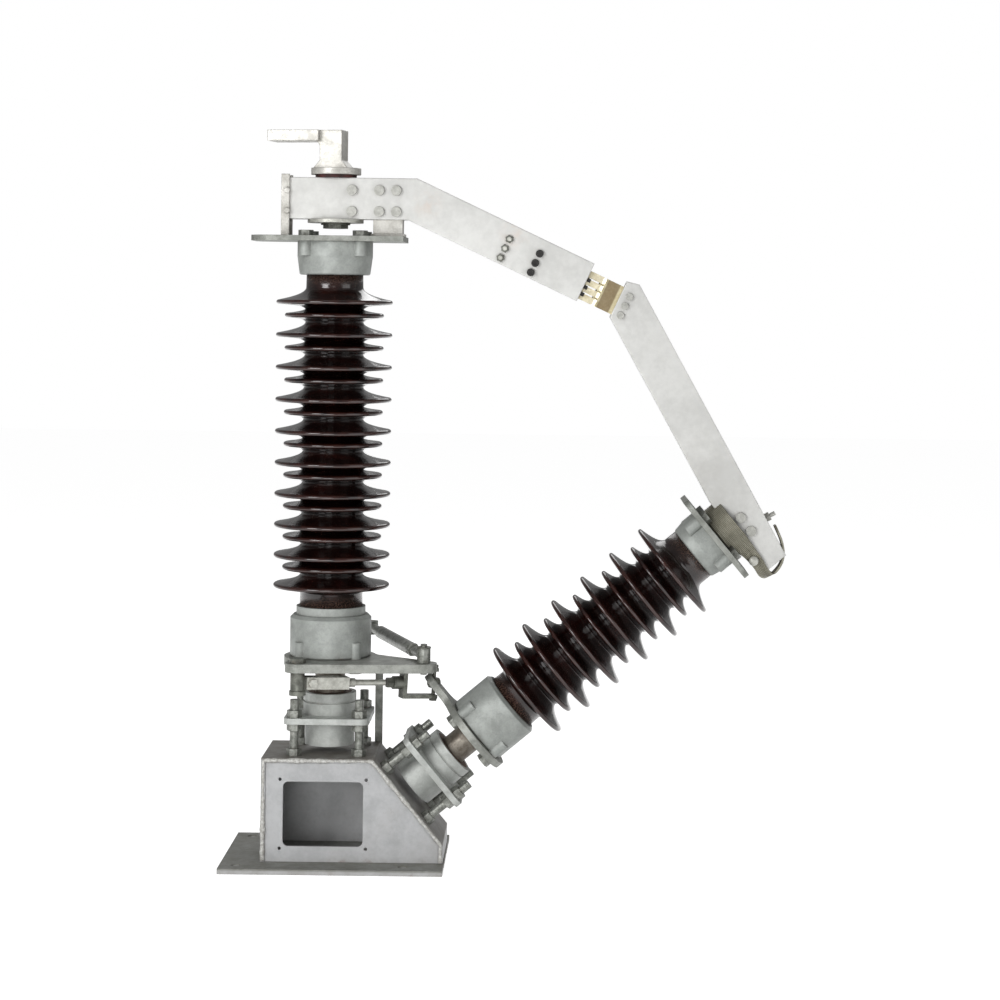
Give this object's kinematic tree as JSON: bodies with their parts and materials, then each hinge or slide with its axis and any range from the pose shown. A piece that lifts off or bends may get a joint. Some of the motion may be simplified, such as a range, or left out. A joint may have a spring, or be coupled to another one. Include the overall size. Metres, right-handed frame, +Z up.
{
  "type": "centre-break disconnect switch, single pole, v-type",
  "caption": "Single-pole outdoor disconnect switch: two turning porcelain insulators set in a V on a steel housing, joined by aluminium arms that part at a centre contact.",
  "frame": {"origin": "on the upright insulator's turning axis, at the underside of the base plate", "axes": "+Z up along the upright insulator, +X towards the leaning insulator, the front with the window faces -Y"},
  "size_m": [1.0206, 0.4477, 1.339],
  "materials": {
    "porcelain": "dark brown glaze",
    "housing_paint": "light grey paint",
    "bearing_paint": "grey painted casting",
    "gasket_rubber": "matt",
    "aluminium": "silvery, satin",
    "cast_galvanised": "galvanised casting",
    "contact_brass": "dull",
    "tinned_copper": "woven braid",
    "galvanised_steel": "galvanised"
  },
  "bodies": {
    "base": {"base_plate": "housing_paint", "housing_back": "housing_paint", "housing_front": "housing_paint", "housing_wrap": "housing_paint", "left_bearing_housing": "bearing_paint", "left_bearing_nuts": "galvanised_steel", "left_bearing_seal": "gasket_rubber", "left_bearing_studs": "galvanised_steel", "right_bearing_housing": "bearing_paint", "right_bearing_nuts": "galvanised_steel", "right_bearing_seal": "gasket_rubber", "right_bearing_studs": "galvanised_steel", "stop_bar": "housing_paint"},
    "left_insulator": {"contact_fingers": "contact_brass", "cross_link_pin": "galvanised_steel", "drive_pin": "galvanised_steel", "finger_spacer": "aluminium", "left_arm": "aluminium", "left_arm_bolts": "galvanised_steel", "left_arm_post": "aluminium", "left_bottom_collar": "cast_galvanised", "left_bottom_fitting": "cast_galvanised", "left_end_bracket": "aluminium", "left_lever": "galvanised_steel", "left_lower_bolts": "galvanised_steel", "left_porcelain": "porcelain", "left_shaft": "galvanised_steel", "left_top_cap": "cast_galvanised", "left_top_plate": "galvanised_steel", "left_upper_bolts": "galvanised_steel", "terminal_thrust_washer": "galvanised_steel", "upper_gasket": "gasket_rubber"},
    "right_insulator": {"braid_strap": "galvanised_steel", "contact_blade": "contact_brass", "flexible_braid": "tinned_copper", "right_arm": "aluminium", "right_arm_bolts": "galvanised_steel", "right_arm_hub": "galvanised_steel", "right_bottom_fitting": "cast_galvanised", "right_lever": "galvanised_steel", "right_lower_bolts": "galvanised_steel", "right_porcelain": "porcelain", "right_shaft": "galvanised_steel", "right_top_cap": "cast_galvanised", "right_top_plate": "galvanised_steel", "right_upper_bolts": "galvanised_steel"},
    "terminal": {"terminal": "aluminium", "terminal_nut": "galvanised_steel"},
    "cross_swivel": {"cross_link_swivel": "galvanised_steel"},
    "cross_link": {"cross_link_fork": "galvanised_steel", "cross_link_fork_bolt": "galvanised_steel", "cross_link_rod": "galvanised_steel"},
    "cross_clevis": {"cross_link_clevis": "galvanised_steel", "cross_link_eye_ball": "galvanised_steel", "cross_link_eye_bolt": "galvanised_steel", "cross_link_nut": "galvanised_steel"},
    "drive_link": {"drive_link_front_eye": "galvanised_steel", "drive_link_nut": "galvanised_steel", "drive_link_rear_eye": "galvanised_steel", "drive_link_tube": "galvanised_steel"}
  },
  "joints": [
    {"name": "left_turn", "type": "hinge", "parent": "base", "child": "left_insulator", "pos_m": [0, 0, 0.25], "axis": [0, 0, 1], "range_deg": [0, 90]},
    {"name": "right_turn", "type": "hinge", "parent": "base", "child": "right_insulator", "pos_m": [0.19151, 0, 0.1687], "axis": [0.766, 0, 0.6428], "range_deg": [-90, 0]},
    {"name": "cross_swivel_turn", "type": "hinge", "parent": "left_insulator", "child": "cross_swivel", "pos_m": [-0.0497, -0.1017, 0.335], "axis": [0, 0, 1], "range_deg": [-69.51, 0]},
    {"name": "cross_link_tilt", "type": "hinge", "parent": "cross_swivel", "child": "cross_link", "pos_m": [-0.0269, -0.09144, 0.335], "axis": [-0.4105, 0.9119, 0], "range_deg": [0, 23.85]},
    {"name": "cross_clevis_turn", "type": "hinge", "parent": "right_insulator", "child": "cross_clevis", "pos_m": [0.19089, 0.0066, 0.32221], "axis": [0.484, -0.0362, 0.8743], "range_deg": [0, 96.64]},
    {"name": "terminal_turn", "type": "hinge", "parent": "left_insulator", "child": "terminal", "pos_m": [0, 0, 1.25], "axis": [0, 0, 1], "range_deg": [-90, 90]},
    {"name": "drive_link_turn", "type": "hinge", "parent": "left_insulator", "child": "drive_link", "pos_m": [0.1766, -0.085, 0.3853], "axis": [0, 0, 1], "range_deg": [-40, 12]}
  ],
  "couplings": [
    {"joint": "right_turn", "follows": "left_turn", "ratio": -1},
    {"joint": "cross_swivel_turn", "follows": "left_turn", "ratio": -0.77226},
    {"joint": "cross_link_tilt", "follows": "left_turn", "ratio": 0.26491},
    {"joint": "cross_clevis_turn", "follows": "left_turn", "ratio": 1.0736}
  ]
}
